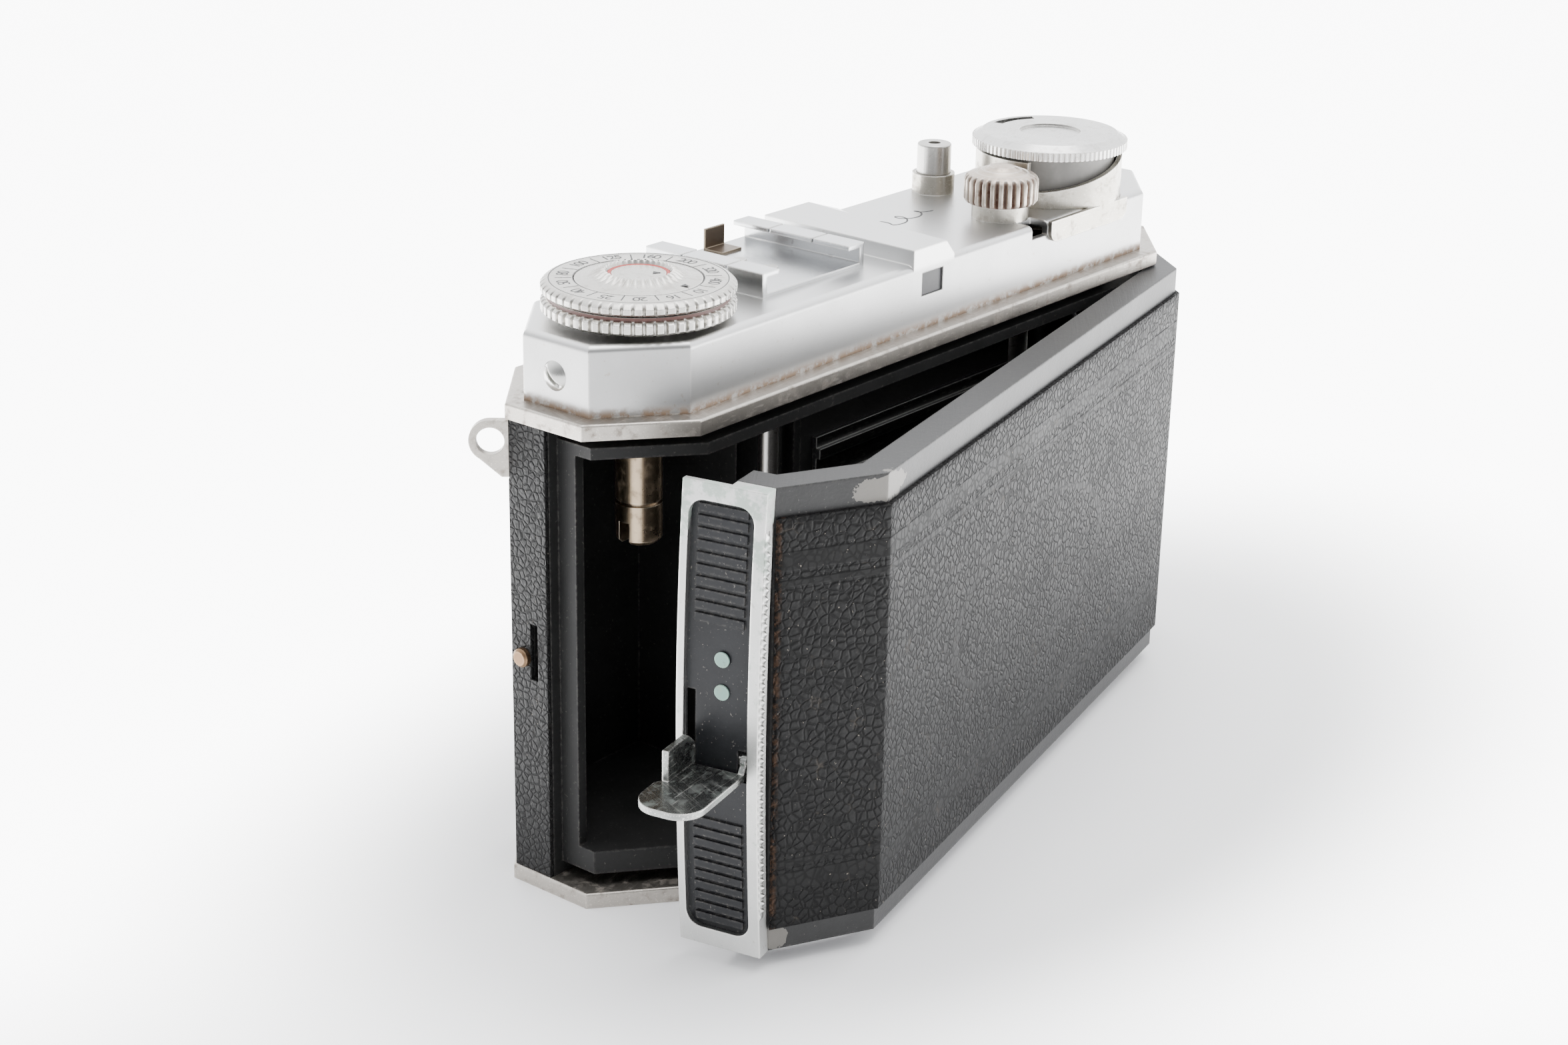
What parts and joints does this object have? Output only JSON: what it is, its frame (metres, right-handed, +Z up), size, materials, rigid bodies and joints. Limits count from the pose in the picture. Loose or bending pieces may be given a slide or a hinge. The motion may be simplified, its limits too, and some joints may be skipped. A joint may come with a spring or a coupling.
{
  "type": "folding viewfinder camera",
  "caption": "Vintage folding 35 mm camera with leather panels, satin top cover, two knobs, accessory shoe, a hinged back and a folding latch lever.",
  "frame": {"origin": "centre of the tripod socket's mouth on the base", "axes": "+Z up from the base to the top cover, +Y out of the back that the film is loaded through, +X towards the rewind end"},
  "size_m": [0.1376, 0.0567, 0.081],
  "materials": {
    "satin_cover": "satin, worn",
    "trim_nickel": "dulled and scratched",
    "body_black": "satin black",
    "chamber_black": "matt black",
    "grained_leather": "fine pebble grain",
    "steel": "machined",
    "brown_brass": "aged",
    "bronze_nickel": "worn plating",
    "knob_chrome": "machined, worn",
    "glass": "clear",
    "inset_black": "satin black",
    "latch_chrome": "worn at the edges",
    "bellows_black": "matt",
    "housing_grey": "satin",
    "rivet_brass": "green patina"
  },
  "bodies": {
    "camera_body": {"body_shell": "chamber_black", "rewind_housing": "chamber_black", "spool_housing": "chamber_black", "base_plate": "trim_nickel", "upper_plate": "trim_nickel", "tripod_bush": "steel", "rewind_end_leather": "grained_leather", "winding_end_leather": "grained_leather", "strap_lugs": "trim_nickel", "catch_stud": "brown_brass", "film_gate": "steel", "roller_axle": "steel", "sprocket_axle": "steel", "wind_guard": "knob_chrome", "top_cover": "satin_cover", "eyepiece_glass": "glass", "finder_window": "glass", "cover_screws": "trim_nickel", "accessory_shoe": "satin_cover", "shoe_stop": "brown_brass", "shoe_rivets": "steel", "release_collar": "knob_chrome", "turn_collar": "body_black", "front_rim": "trim_nickel", "bed_pin": "steel", "bellows": "bellows_black", "hinge_pin": "steel"},
    "back": {"back_shell": "body_black", "back_leather": "grained_leather", "pressure_plate": "body_black", "pressure_spring": "steel", "latch_plate": "latch_chrome", "latch_inset": "inset_black", "latch_rivets": "rivet_brass", "lever_pin": "steel"},
    "latch": {"latch_lever": "latch_chrome"},
    "rewind_slide": {"rewind_washer": "steel"},
    "rewind": {"rewind_shaft": "bronze_nickel", "rewind_knob": "knob_chrome", "hub_disc": "knob_chrome"},
    "reminder": {"reminder_dial": "knob_chrome"},
    "winder": {"wind_knob": "knob_chrome", "wind_drum": "housing_grey", "take_up_spool": "body_black"},
    "counter": {"frame_counter": "body_black"},
    "sprocket_body": {"sprocket": "steel"},
    "roller": {"guide_roller": "steel"},
    "shutter_button": {"release_button": "steel"},
    "turn_button": {"turn_knob": "knob_chrome"},
    "front_bed": {"bed": "body_black", "bed_leather": "grained_leather"},
    "bed_catch": {"bed_release": "trim_nickel"},
    "standard": {"lens_standard": "body_black", "shutter_housing": "housing_grey", "lens_tube": "body_black", "front_lens": "glass", "rear_lens": "glass"},
    "speed": {"speed_ring": "knob_chrome"},
    "focus": {"focus_ring": "knob_chrome"}
  },
  "joints": [
    {"name": "back_hinge", "type": "hinge", "parent": "camera_body", "child": "back", "pos_m": [-0.0609, 0.0069, 0.0317], "axis": [0, 0, 1], "range_deg": [-12.1, 150]},
    {"name": "latch_fold", "type": "hinge", "parent": "back", "child": "latch", "pos_m": [0.06019, 0.02693, 0.0276], "axis": [0.2096, -0.9778, 0], "range_deg": [0, 85]},
    {"name": "rewind_lift", "type": "slide", "parent": "camera_body", "child": "rewind_slide", "axis": [0, 0, 1], "range_m": [0, 0.006]},
    {"name": "rewind_spin", "type": "hinge", "parent": "rewind_slide", "child": "rewind", "pos_m": [0.0456, 0.0013, 0.075], "axis": [0, 0, 1], "continuous": true},
    {"name": "reminder_turn", "type": "hinge", "parent": "rewind", "child": "reminder", "pos_m": [0.0456, 0.0013, 0.076], "axis": [0, 0, 1], "continuous": true},
    {"name": "wind_spin", "type": "hinge", "parent": "camera_body", "child": "winder", "pos_m": [-0.0388, 0.0032, 0.07], "axis": [0, 0, 1], "continuous": true},
    {"name": "counter_spin", "type": "hinge", "parent": "winder", "child": "counter", "pos_m": [-0.0388, 0.0032, 0.0794], "axis": [0, 0, 1], "continuous": true},
    {"name": "sprocket_spin", "type": "hinge", "parent": "camera_body", "child": "sprocket_body", "pos_m": [-0.0264, 0.0061, 0.032], "axis": [0, 0, 1], "continuous": true},
    {"name": "roller_spin", "type": "hinge", "parent": "camera_body", "child": "roller", "pos_m": [0.0292, 0.0083, 0.032], "axis": [0, 0, 1], "continuous": true},
    {"name": "shutter_press", "type": "slide", "parent": "camera_body", "child": "shutter_button", "axis": [0, 0, -1], "range_m": [0, 0.002], "stiffness_N_per_m": 600},
    {"name": "turn_button_turn", "type": "hinge", "parent": "camera_body", "child": "turn_button", "pos_m": [-0.0225, 0.0064, 0.076], "axis": [0, 0, 1], "range_deg": [0, 60]},
    {"name": "bed_hinge", "type": "hinge", "parent": "camera_body", "child": "front_bed", "pos_m": [-0.0265, -0.0157, 0.0325], "axis": [0, 0, -1], "range_deg": [0, 90]},
    {"name": "standard_slide", "type": "slide", "parent": "camera_body", "child": "standard", "axis": [0, -1, 0], "range_m": [0, 0.0271], "deforming": ["bellows"]},
    {"name": "bed_catch_press", "type": "slide", "parent": "camera_body", "child": "bed_catch", "axis": [0, 1, 0], "range_m": [0, 0.001], "stiffness_N_per_m": 600},
    {"name": "speed_turn", "type": "hinge", "parent": "standard", "child": "speed", "pos_m": [0, -0.0105, 0.0325], "axis": [0, -1, 0], "range_deg": [-120, 120]},
    {"name": "focus_turn", "type": "hinge", "parent": "standard", "child": "focus", "pos_m": [0, -0.0115, 0.0325], "axis": [0, -1, 0], "range_deg": [0, 270]}
  ],
  "couplings": [
    {"joint": "counter_spin", "follows": "wind_spin", "ratio": -0.97},
    {"joint": "sprocket_spin", "follows": "wind_spin", "ratio": 1.15},
    {"joint": "standard_slide", "follows": "bed_hinge", "m_per_rad": 0.01719}
  ]
}
